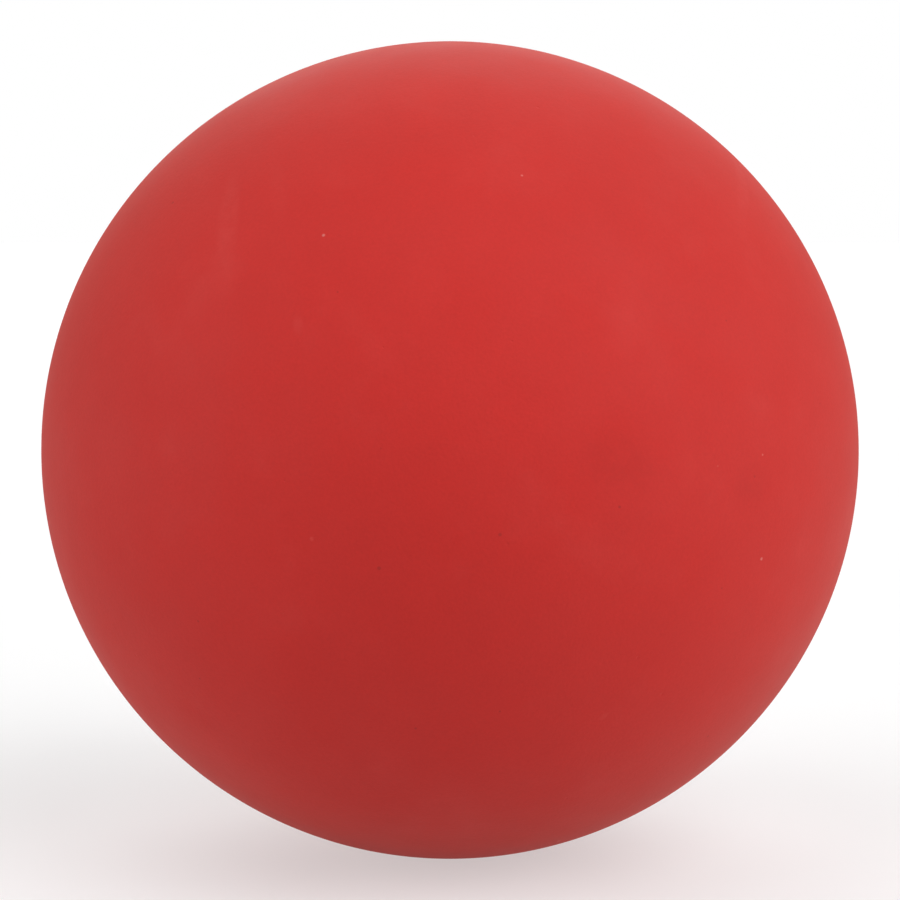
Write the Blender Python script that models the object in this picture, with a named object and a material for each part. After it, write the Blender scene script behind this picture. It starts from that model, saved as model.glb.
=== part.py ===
"""A solid rubber massage ball, in metres, with +Z up.

The ball is moulded in one shot from one rubber, so it is a single piece: the same material runs from the
skin to the centre, with no core, shell, valve or fastener. It is pressed between two half-round cups
that close along Y. The origin is at the ball's centre, and the mould's parting plane is Y = 0.

Run with blender --background --python part.py, or from Blender's text editor.
"""

from math import pi

import bmesh
import bpy
from mathutils import Matrix

# Driving dimension
BALL_DIAMETER = 0.0635  # two and a half inches

# Faceting: with multiples of four, a vertex lies on each axis, so the solid is a full diameter across
SEGMENTS_ROUND_THE_MOULD_AXIS = 64
RINGS_ALONG_THE_MOULD_AXIS = 32

# Rubber
RUBBER_COLOUR = (0.565, 0.034, 0.031, 1.0)  # linear red
RUBBER_ROUGHNESS = 0.7
RUBBER_METALLIC = 0.0

COLLECTION_NAME = "massage_ball"


def remove_all_objects():
    """Empty the scene."""
    for existing in list(bpy.data.objects):
        bpy.data.objects.remove(existing, do_unlink=True)


def make_collection(name):
    """Make a collection under the scene's own."""
    collection = bpy.data.collections.new(name)
    bpy.context.scene.collection.children.link(collection)
    return collection


def make_rubber():
    """Matte red rubber, coloured right through."""
    material = bpy.data.materials.new("red_rubber")
    material.use_nodes = True
    shader = material.node_tree.nodes["Principled BSDF"]
    shader.inputs["Base Color"].default_value = RUBBER_COLOUR
    shader.inputs["Roughness"].default_value = RUBBER_ROUGHNESS
    shader.inputs["Metallic"].default_value = RUBBER_METALLIC
    material.diffuse_color = RUBBER_COLOUR
    return material


def make_ball(collection, material):
    """Make the ball, with the sphere's poles on the mould's axis, which is Y."""
    poles_to_y = Matrix.Rotation(pi / 2, 4, "X")
    shape = bmesh.new()
    bmesh.ops.create_uvsphere(
        shape,
        u_segments=SEGMENTS_ROUND_THE_MOULD_AXIS,
        v_segments=RINGS_ALONG_THE_MOULD_AXIS,
        radius=BALL_DIAMETER / 2,
        matrix=poles_to_y,
    )
    mesh = bpy.data.meshes.new("ball")
    shape.to_mesh(mesh)
    shape.free()
    mesh.shade_smooth()
    mesh.materials.append(material)
    ball = bpy.data.objects.new("ball", mesh)
    collection.objects.link(ball)
    return ball


remove_all_objects()
make_ball(make_collection(COLLECTION_NAME), make_rubber())
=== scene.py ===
"""The looks of a solid rubber massage ball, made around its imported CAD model.

The ball is one piece of matte red rubber, moulded between two half-round cups that close along Y. Its
surface is made here at full detail: the trimmed and buffed parting line that runs round it in the XZ
plane, the slight step between the two mould halves, the faint swell of the moulding, and the satin
grain, pigment, dust and rub marks of the rubber. The script's space is in metres, with +Z up, and the
camera looks along +Y, from a little above. Sizes below are in millimetres unless they say otherwise.
"""

from math import atan, cos, pi, radians, sin

import bmesh
import bpy
import numpy as np
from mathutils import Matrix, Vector, noise


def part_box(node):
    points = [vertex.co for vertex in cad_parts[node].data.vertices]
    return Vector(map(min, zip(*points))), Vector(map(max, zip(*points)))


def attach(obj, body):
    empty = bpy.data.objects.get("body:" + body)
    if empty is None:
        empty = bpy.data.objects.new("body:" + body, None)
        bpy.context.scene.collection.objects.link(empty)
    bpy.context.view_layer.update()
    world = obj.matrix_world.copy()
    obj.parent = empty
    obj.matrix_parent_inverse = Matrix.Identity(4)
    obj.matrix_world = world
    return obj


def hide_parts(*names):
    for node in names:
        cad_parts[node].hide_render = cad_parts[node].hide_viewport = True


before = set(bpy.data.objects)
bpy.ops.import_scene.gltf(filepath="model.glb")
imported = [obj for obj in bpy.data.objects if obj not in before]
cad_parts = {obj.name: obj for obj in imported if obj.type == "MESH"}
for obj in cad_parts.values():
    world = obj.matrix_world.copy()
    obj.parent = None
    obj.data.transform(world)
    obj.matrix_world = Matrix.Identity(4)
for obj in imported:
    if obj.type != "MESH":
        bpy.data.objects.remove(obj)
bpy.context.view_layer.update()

BALL_LOW, BALL_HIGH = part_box("ball")
MM = 0.001  # metres
RADIUS = (BALL_HIGH.z - BALL_LOW.z) / 2 / MM

# The ball's mesh
GRID = 104  # quads along each edge of the cube that is rounded into the ball; an even number
ROWS_CUT_FINER = 2  # rows of quads each side of the parting line
CUTS = 7  # new edge loops in each of those rows

# The moulded form
SWELL, SWELL_SIZE = 0.012, 24.0  # the slow departure from a true sphere
RIPPLE, RIPPLE_SIZE = 0.0025, 2.6  # the soft ripple of a rubber surface
RIDGE_HEIGHT, RIDGE_HALF_WIDTH = 0.045, 0.15  # what trimming leaves of the flash
RIDGE_MEAN, RIDGE_LEAST, RIDGE_MOST = 0.75, 0.1, 1.6  # shares of that height, as the ridge comes and goes
RIDGE_WANDER = 0.05  # how far the ridge strays from the parting plane
HALF_STEP, HALF_STEP_REACH = 0.014, 3.0  # one mould half stands this proud of the other, near the line
BUFFED_DEPTH, BUFFED_HALF_WIDTH = 0.012, 1.5  # what buffing takes off beside the ridge
NICK_COUNT, NICK_SEED = 9, 7  # places where the trimming cut into the ridge
NICK_DEPTH, NICK_LENGTH, NICK_HALF_WIDTH = 0.06, 1.3, 0.3
LINE_REACH = 2.5 * HALF_STEP_REACH  # farther away, the parting line's relief is too small to matter

# The rubber. Colours are linear.
RUBBER_RED = (0.5, 0.0158, 0.0118)
BUFFED_RED = (0.545, 0.030, 0.024)  # buffing leaves the rubber paler
# The paler red below also paints a highlight, on a tiny pimple at the front.
BLOOM_AND_HIGHLIGHT_RED = (0.56, 0.045, 0.038)  # the powdery haze that rubber grows, and pale rub marks
DUST_COLOUR = (0.75, 0.42, 0.38)
FLECK_COLOUR = (0.26, 0.012, 0.010)
SPECULAR = 0.3
SHEEN, SHEEN_ROUGHNESS = 0.07, 0.52
SHEEN_TINT = (1.0, 0.86, 0.70, 1.0)

# Blotches of colour: their size, and how far they go each way from the rubber's red
CLOUD_SIZE, CLOUD_SHADE = 13.0, 0.022
PATCH_SIZE, PATCH_SHADE = 2.8, 0.016
PIGMENT_SIZE, PIGMENT_SHADE = 0.22, 0.05
BLOOM_SIZE, BLOOM_STRENGTH = 7.0, 0.22

# Specks: the spacing of the places for them, their largest radius, the share of places that hold one,
# and a seed
DUST, DUST_STRENGTH = (3.4, 0.19, 0.14, 9.0), 0.30
FLECKS, FLECK_STRENGTH = (2.6, 0.17, 0.30, 5.0), 0.55
PITS, PIT_DEPTH = (2.2, 0.16, 0.35, 14.0), 0.018

# The band that is buffed along the parting line
BAND_INNER, BAND_OUTER = 0.5, 1.9  # from the line, where the buffing starts to fade and where it ends
BAND_UNEVENNESS, BAND_WAVE = 0.5, 1.8  # how far its edge strays, and over what length
BAND_STRENGTH = 0.7
SCRATCH_LENGTH, SCRATCH_WIDTH, SCRATCH_HEIGHT = 8.0, 0.17, 0.016

# The surface's fine relief and its roughness
GRAIN_SIZE, GRAIN_HEIGHT = 0.25, 0.014
PEEL_SIZE, PEEL_HEIGHT = 0.9, 0.010  # an orange-peel ripple
WORN_SIZE = 6.0  # patches that handling has smoothed more or less
WORN_ROUGHNESS = (0.68, 0.76)
GRAIN_ROUGHNESS, BUFFED_ROUGHNESS, RUBBED_ROUGHNESS = 0.06, 0.06, -0.15  # what each adds

# Rub marks, and one painted highlight: azimuth and elevation of the middle in degrees, half width, half
# length, lean to the right of upright in degrees, and strength. A mark with a strength below zero is a
# dark smudge.
RUB_MARKS_AND_HIGHLIGHT = (
    (-36, 34, 1.1, 6.0, -22, 0.24),
    (-29, 39, 0.8, 4.0, -26, 0.10),
    (-20, 20, 0.9, 0.5, 75, 0.22),
    # painted highlight: a small, strong pale spot where a tiny pimple catches the light
    (-17, -6, 0.2, 0.2, 0, 0.80),
    (23, -31, 0.3, 0.5, 40, 0.40),
    (21, 3, 3.4, 2.6, 30, -0.12),
    (41, -1, 2.6, 2.0, -20, -0.12),
    (62, 40, 0.8, 7.0, 55, 0.18),
    (118, -12, 1.2, 8.0, -35, 0.22),
    (150, 30, 3.0, 2.2, 10, -0.15),
    (-115, 20, 0.9, 6.0, 70, 0.24),
    (-160, -25, 1.0, 7.5, 15, 0.20),
    (-80, -35, 2.8, 3.6, 40, -0.14),
)
MARK_DEPTH = 6.0  # how far a mark's volume reaches into the ball, so that it meets the curved surface
MARK_BREAK_SIZE, MARK_BREAK = 0.9, 0.35  # a mark is broken up in spots of this size, to this strength

# The camera
LENS, SENSOR = 100.0, 36.0
CAMERA_ELEVATION = 5.0  # degrees
NEAR_CLIP, FAR_CLIP = 0.01, 50.0  # metres
BALL_SHARE_OF_FRAME = 0.9085  # the ball's outline across the picture's width

# The studio
WHITE = (1.0, 1.0, 1.0, 1.0)

# Lamps: name, azimuth and elevation in degrees, and how brightly each lights a white card that faces it
# Their directions and strengths are the answer of a fit to the photographed ball's shading, made by
# another program. Only the rounding to steps of 0.05 is by hand.
LAMPS = (
    ("key_light", 45, 40, 0.45),
    ("right_top_light", 60, 58, 0.20),
    ("left_top_light", -60, 58, 0.25),
    ("left_low_light", -75, 12, 0.45),
    ("right_low_light", 75, 12, 0.40),
    ("back_light", 180, 35, 0.35),
)
LAMP_WIDTH = 50.0  # degrees across, as seen from the ball: a large, close softbox
ROOM_LIGHT, ROOM_SEEN = 0.1, 1.0  # how brightly the white room lights the ball, and how it looks
FLOOR_SIZE = 20.0  # metres
FLOOR_COLOUR, FLOOR_ROUGHNESS = (0.4, 0.4, 0.4, 1.0), 0.8
FLOOR_GLOW, FLOOR_GLOW_SEEN = 0.3, 0.5  # the floor is an opal sheet lit from below, so shadows stay pale


# ---------------------------------------------------------------- the ball's shape


def cube_grid():
    """A cube from -1 to 1 with GRID quads along each edge, and finer rows beside the plane y = 0."""
    shape = bmesh.new()
    bmesh.ops.create_cube(shape, size=2)
    bmesh.ops.subdivide_edges(shape, edges=shape.edges[:], cuts=GRID - 1, use_grid_fill=True)
    quad = 2 / GRID
    crossing = []
    for edge in shape.edges:
        ends = [vert.co.y for vert in edge.verts]
        if max(map(abs, ends)) < (ROWS_CUT_FINER + 0.5) * quad and abs(ends[0] - ends[1]) > quad / 2:
            crossing.append(edge)
    bmesh.ops.subdivide_edges(shape, edges=crossing, cuts=CUTS, use_grid_fill=True)
    return shape


def everywhere(points, size, seed):
    """Smooth noise from -1 to 1 over the ball."""
    shift = Vector((0.0, 0.0, seed))
    return np.array([noise.noise(Vector(point) / size + shift) for point in points])


def along_line(longitude, waves, seed):
    """Smooth noise from -1 to 1 along the parting line, which meets itself after a full turn.

    It goes up and down about this many times in each stretch of a radius's length.
    """
    circle = np.stack([np.cos(longitude), np.sin(longitude), np.zeros_like(longitude)], axis=1)
    return everywhere(circle * waves, 1.0, seed)


def bell(distance, half_width):
    """1 at no distance, falling smoothly to nothing."""
    return np.exp(-((distance / half_width) ** 2))


def nicks(longitude, across):
    """The depth of the small cuts that trimming leaves in the ridge."""
    depth = np.zeros_like(longitude)
    dice = np.random.default_rng(NICK_SEED)
    for _ in range(NICK_COUNT):
        middle = dice.uniform(-pi, pi)
        strength = dice.uniform(0.4, 1.0)
        half_length = NICK_LENGTH / 2 * dice.uniform(0.6, 1.4)
        along = ((longitude - middle + pi) % (2 * pi) - pi) * RADIUS
        depth += NICK_DEPTH * strength * bell(along, half_length) * bell(across, NICK_HALF_WIDTH)
    return depth


def parting_line(longitude, across):
    """The relief round the parting plane: ridge, step between the halves, buffed band and nicks."""
    share = RIDGE_MEAN + 0.7 * along_line(longitude, 9, 1) + 0.35 * along_line(longitude, 40, 2)
    height = RIDGE_HEIGHT * np.clip(share, RIDGE_LEAST, RIDGE_MOST)
    width = RIDGE_HALF_WIDTH * (1 + 0.35 * along_line(longitude, 14, 4))
    stray = RIDGE_WANDER * along_line(longitude, 6, 5)
    ridge = height * bell(across - stray, width)
    step = HALF_STEP / 2 * np.tanh(across / RIDGE_HALF_WIDTH) * bell(across, HALF_STEP_REACH)
    buffed = BUFFED_DEPTH * (1 + 0.5 * along_line(longitude, 11, 6)) * bell(across, BUFFED_HALF_WIDTH)
    return ridge - step - buffed - nicks(longitude, across)


def relief(directions):
    """How far the surface stands out from the true sphere in each direction."""
    points = directions * RADIUS
    height = SWELL * everywhere(points, SWELL_SIZE, 3) + RIPPLE * everywhere(points, RIPPLE_SIZE, 11)
    longitude = np.arctan2(directions[:, 2], directions[:, 0])
    across = np.arcsin(directions[:, 1]) * RADIUS
    near = np.abs(across) < LINE_REACH
    height[near] += parting_line(longitude[near], across[near])
    return height


def make_ball():
    """The ball's surface: a cube grid rounded into a sphere, with the moulding's relief on it."""
    shape = cube_grid()
    mesh = bpy.data.meshes.new("ball_rubber")
    shape.to_mesh(mesh)
    shape.free()
    corners = np.empty(len(mesh.vertices) * 3)
    mesh.vertices.foreach_get("co", corners)
    rounded = np.tan(corners.reshape(-1, 3) * pi / 4)  # evens out the quads on the sphere
    directions = rounded / np.linalg.norm(rounded, axis=1, keepdims=True)
    distance = RADIUS + relief(directions)
    mesh.vertices.foreach_set("co", (directions * distance[:, None] * MM).ravel())
    mesh.update()
    mesh.shade_smooth()
    ball = bpy.data.objects.new("ball_rubber", mesh)
    bpy.context.collection.objects.link(ball)
    return ball


# ---------------------------------------------------------------- shader helpers


def add(tree, kind, inputs=None, **settings):
    """Add a node, change its settings, and set or link its inputs."""
    node = tree.nodes.new(kind)
    for name, value in settings.items():
        setattr(node, name, value)
    for name, value in (inputs or {}).items():
        if isinstance(value, bpy.types.NodeSocket):
            tree.links.new(value, node.inputs[name])
        else:
            node.inputs[name].default_value = value
    return node


def maths(tree, operation, first, second=0.5, third=0.5):
    """The result of one Math node."""
    return add(tree, "ShaderNodeMath", {0: first, 1: second, 2: third}, operation=operation).outputs[0]


def vectors(tree, operation, first, second=(0.0, 0.0, 0.0)):
    """The result of one Vector Math node."""
    return add(tree, "ShaderNodeVectorMath", {0: first, 1: second}, operation=operation).outputs[0]


def scaled(tree, vector, factor):
    """A vector or colour times a number."""
    return add(tree, "ShaderNodeVectorMath", {0: vector, "Scale": factor}, operation="SCALE").outputs[0]


def rescale(tree, value, source, target, kind="LINEAR"):
    """Carry a value from one range to another, and no further than its ends."""
    names = ("Value", "From Min", "From Max", "To Min", "To Max")
    inputs = dict(zip(names, (value, *source, *target)))
    return add(tree, "ShaderNodeMapRange", inputs, interpolation_type=kind).outputs["Result"]


def eased(tree, value, source, target):
    """Carry a value from one range to another, starting and ending gently."""
    return rescale(tree, value, source, target, "SMOOTHSTEP")


def mixed(tree, factor, colour, other):
    """A colour part of the way from a node's output to a plain red, green and blue."""
    node = add(tree, "ShaderNodeMix", {"Factor": factor}, data_type="RGBA")
    first, second = [socket for socket in node.inputs if socket.type == "RGBA"]
    tree.links.new(colour, first)
    second.default_value = (*other, 1.0)
    return next(socket for socket in node.outputs if socket.type == "RGBA")


def blotches(tree, place, size, detail=2.0, roughness=0.5):
    """Noise about 0.5 over the surface, with blotches of about the given size."""
    inputs = {"Vector": place, "Scale": 1 / size, "Detail": detail, "Roughness": roughness}
    return add(tree, "ShaderNodeTexNoise", inputs).outputs["Fac"]


def shade(tree, place, size, reach, detail=2.0, roughness=0.5):
    """Blotches from -reach to reach."""
    return rescale(tree, blotches(tree, place, size, detail, roughness), (0.25, 0.75), (-reach, reach))


def specks(tree, place, spacing, radius, share, seed):
    """1 in small round specks scattered over the surface, and 0 between them."""
    shifted = vectors(tree, "ADD", place, (seed, seed * 2, seed * 3))
    cells = add(tree, "ShaderNodeTexVoronoi", {"Vector": shifted, "Scale": 1 / spacing})
    dice = add(tree, "ShaderNodeSeparateColor", {0: cells.outputs["Color"]})
    chosen = maths(tree, "LESS_THAN", dice.outputs[0], share)
    largest = radius / spacing
    reach = rescale(tree, dice.outputs[1], (0.0, 1.0), (0.5 * largest, largest))
    nearness = maths(tree, "SUBTRACT", 1.0, maths(tree, "DIVIDE", cells.outputs["Distance"], reach))
    return maths(tree, "MULTIPLY", eased(tree, nearness, (0.0, 0.45), (0.0, 1.0)), chosen)


# ---------------------------------------------------------------- the rubber


def around_ball(azimuth, elevation, distance):
    """A place that far from the ball's centre. Azimuth 0 is in front, at -Y, and 90 is at +X."""
    turn, rise = radians(azimuth), radians(elevation)
    return Vector((sin(turn) * cos(rise), -cos(turn) * cos(rise), sin(rise))) * distance


def oval_mark(tree, place, azimuth, elevation, half_width, half_length, lean):
    """1 in the middle of a soft oval mark on the surface, falling to 0 at its edge."""
    middle = around_ball(azimuth, elevation, RADIUS)
    facing = middle.to_track_quat("Z", "Y").to_matrix()
    turn = radians(lean)
    across = facing @ Vector((cos(turn), -sin(turn), 0.0))
    along = facing @ Vector((sin(turn), cos(turn), 0.0))
    offset = vectors(tree, "SUBTRACT", place, middle)
    axes = ((across, half_width), (along, half_length), (middle.normalized(), MARK_DEPTH))
    total = 0.0
    for axis, reach in axes:
        part = add(tree, "ShaderNodeVectorMath", {0: offset, 1: axis / reach}, operation="DOT_PRODUCT")
        total = maths(tree, "MULTIPLY_ADD", part.outputs["Value"], part.outputs["Value"], total)
    return eased(tree, total, (0.0, 1.0), (1.0, 0.0))


def rub_marks_and_highlight(tree, place):
    """All the rub marks and the painted highlight: above zero where pale, below zero where dark."""
    rubbed_and_highlit = 0.0
    for *shape, strength in RUB_MARKS_AND_HIGHLIGHT:
        rubbed_and_highlit = maths(tree, "MULTIPLY_ADD", oval_mark(tree, place, *shape), strength, rubbed_and_highlit)
    spots = blotches(tree, place, MARK_BREAK_SIZE, 3.0, 0.6)
    return maths(tree, "MULTIPLY", rubbed_and_highlit, eased(tree, spots, (0.3, 0.65), (MARK_BREAK, 1.0)))


def buffed_band(tree, place):
    """1 along the parting line, falling to 0 at the buffed band's uneven edge."""
    from_line = maths(tree, "ABSOLUTE", add(tree, "ShaderNodeSeparateXYZ", {0: place}).outputs["Y"])
    waves = blotches(tree, place, BAND_WAVE, 3.0)
    uneven = rescale(tree, waves, (0.2, 0.8), (-BAND_UNEVENNESS, BAND_UNEVENNESS))
    return eased(tree, maths(tree, "ADD", from_line, uneven), (BAND_INNER, BAND_OUTER), (1.0, 0.0))


def rubber_colour(tree, place, buffed, rubbed_and_highlit):
    """Red pigment with faint clouds, paler where buffed, bloomed or worn by rubbing, and at a painted
    highlight.
    """
    clouds = shade(tree, place, CLOUD_SIZE, CLOUD_SHADE)
    patches = shade(tree, place, PATCH_SIZE, PATCH_SHADE, 3.0)
    pigment = shade(tree, place, PIGMENT_SIZE, PIGMENT_SHADE, 3.0, 0.7)
    shades = maths(tree, "ADD", maths(tree, "ADD", clouds, patches), maths(tree, "ADD", pigment, 1.0))
    red = scaled(tree, RUBBER_RED, shades)
    bloom = eased(tree, blotches(tree, place, BLOOM_SIZE, 4.0, 0.6), (0.5, 0.8), (0.0, BLOOM_STRENGTH))
    smudged = maths(tree, "MULTIPLY", rubbed_and_highlit, -1.0)
    layers = (
        (bloom, BLOOM_AND_HIGHLIGHT_RED),
        (maths(tree, "MULTIPLY", buffed, BAND_STRENGTH), BUFFED_RED),
        # pale rub marks, and the painted highlight of a tiny pimple
        (maths(tree, "MAXIMUM", rubbed_and_highlit, 0.0), BLOOM_AND_HIGHLIGHT_RED),
        (maths(tree, "MAXIMUM", smudged, 0.0), FLECK_COLOUR),
        (maths(tree, "MULTIPLY", specks(tree, place, *FLECKS), FLECK_STRENGTH), FLECK_COLOUR),
        (maths(tree, "MULTIPLY", specks(tree, place, *DUST), DUST_STRENGTH), DUST_COLOUR),
    )
    for amount, colour in layers:
        red = mixed(tree, amount, red, colour)
    return red


def rubber_roughness(tree, place, buffed, rubbed_and_highlit, grain):
    """Satin rubber, duller where buffed or smudged, shinier where rubbing wore it and at the painted
    highlight.
    """
    worn = rescale(tree, blotches(tree, place, WORN_SIZE, 3.0), (0.3, 0.7), WORN_ROUGHNESS)
    rough = maths(tree, "MULTIPLY_ADD", grain, GRAIN_ROUGHNESS, worn)
    rough = maths(tree, "MULTIPLY_ADD", buffed, BUFFED_ROUGHNESS, rough)
    return maths(tree, "MULTIPLY_ADD", rubbed_and_highlit, RUBBED_ROUGHNESS, rough)


def rubber_height(tree, place, buffed, grain):
    """The finest relief: grain, a soft ripple, scratches along the parting line, and a few pits."""
    stretch = (1 / SCRATCH_LENGTH, 1 / SCRATCH_WIDTH, 1 / SCRATCH_LENGTH)
    scratches = blotches(tree, vectors(tree, "MULTIPLY", place, stretch), 1.0, 3.0, 0.6)
    ripple = blotches(tree, place, PEEL_SIZE, 2.0)
    height = maths(tree, "MULTIPLY", grain, GRAIN_HEIGHT)
    height = maths(tree, "MULTIPLY_ADD", ripple, PEEL_HEIGHT, height)
    height = maths(tree, "MULTIPLY_ADD", maths(tree, "MULTIPLY", scratches, buffed), SCRATCH_HEIGHT, height)
    return maths(tree, "MULTIPLY_ADD", specks(tree, place, *PITS), -PIT_DEPTH, height)


def rubber():
    """Matte red rubber, coloured right through."""
    material = bpy.data.materials.new("red_rubber")
    material.use_nodes = True
    tree = material.node_tree
    shader = tree.nodes["Principled BSDF"]
    shader.inputs["Specular IOR Level"].default_value = SPECULAR
    shader.inputs["Sheen Weight"].default_value = SHEEN
    shader.inputs["Sheen Roughness"].default_value = SHEEN_ROUGHNESS
    shader.inputs["Sheen Tint"].default_value = SHEEN_TINT

    place = scaled(tree, add(tree, "ShaderNodeTexCoord").outputs["Object"], 1 / MM)
    buffed = buffed_band(tree, place)
    rubbed_and_highlit = rub_marks_and_highlight(tree, place)
    grain = blotches(tree, place, GRAIN_SIZE, 3.0, 0.6)
    height = rubber_height(tree, place, buffed, grain)
    bump = add(tree, "ShaderNodeBump", {"Strength": 1.0, "Distance": MM, "Height": height})
    tree.links.new(rubber_colour(tree, place, buffed, rubbed_and_highlit), shader.inputs["Base Color"])
    tree.links.new(rubber_roughness(tree, place, buffed, rubbed_and_highlit, grain), shader.inputs["Roughness"])
    tree.links.new(bump.outputs["Normal"], shader.inputs["Normal"])
    return material


# ---------------------------------------------------------------- the studio


def aim_at_ball(thing, place):
    """Put a camera or lamp at a place, in metres, and turn it towards the ball's centre."""
    thing.location = place
    thing.rotation_euler = (-place).to_track_quat("-Z", "Y").to_euler()
    bpy.context.collection.objects.link(thing)


def make_lamp(name, azimuth, elevation, brightness):
    """A wide, soft lamp that lights the ball and the floor evenly from one side."""
    data = bpy.data.lights.new(name, "SUN")
    data.angle = radians(LAMP_WIDTH)
    data.energy = pi * brightness  # a lamp of strength pi makes a white card that faces it look white
    aim_at_ball(bpy.data.objects.new(name, data), around_ball(azimuth, elevation, 1.0))


def glow(tree, lighting, seen):
    """A strength with one value for the light that a surface gives, and another for how it looks."""
    camera_ray = add(tree, "ShaderNodeLightPath").outputs["Is Camera Ray"]
    return rescale(tree, camera_ray, (0.0, 1.0), (lighting, seen))


def make_room():
    """A white room, which shows white but lights the ball only a little."""
    world = bpy.data.worlds.new("white_room")
    world.use_nodes = True
    tree = world.node_tree
    background = tree.nodes["Background"]
    background.inputs["Color"].default_value = WHITE
    tree.links.new(glow(tree, ROOM_LIGHT, ROOM_SEEN), background.inputs["Strength"])
    bpy.context.scene.world = world


def make_floor():
    """A large, softly glowing white floor that the ball rests on."""
    bpy.ops.mesh.primitive_plane_add(size=FLOOR_SIZE, location=(0.0, 0.0, BALL_LOW.z))
    floor = bpy.context.object
    floor.name = "floor"
    material = bpy.data.materials.new("pale_floor")
    material.use_nodes = True
    tree = material.node_tree
    shader = tree.nodes["Principled BSDF"]
    shader.inputs["Base Color"].default_value = FLOOR_COLOUR
    shader.inputs["Roughness"].default_value = FLOOR_ROUGHNESS
    shader.inputs["Emission Color"].default_value = WHITE
    tree.links.new(glow(tree, FLOOR_GLOW, FLOOR_GLOW_SEEN), shader.inputs["Emission Strength"])
    floor.data.materials.append(material)


def make_camera():
    """A camera that frames the ball's outline at its share of the picture's width."""
    data = bpy.data.cameras.new("camera")
    data.lens = LENS
    data.sensor_width = SENSOR
    data.clip_start = NEAR_CLIP
    data.clip_end = FAR_CLIP
    half_angle = atan(BALL_SHARE_OF_FRAME * SENSOR / 2 / LENS)
    camera = bpy.data.objects.new("camera", data)
    aim_at_ball(camera, around_ball(0, CAMERA_ELEVATION, RADIUS * MM / sin(half_angle)))
    bpy.context.scene.camera = camera


make_camera()
for lamp in LAMPS:
    make_lamp(*lamp)
make_room()
make_floor()

ball = make_ball()
ball.data.materials.append(rubber())
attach(ball, "root")
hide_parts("ball")

bpy.context.scene.view_settings.view_transform = "Standard"
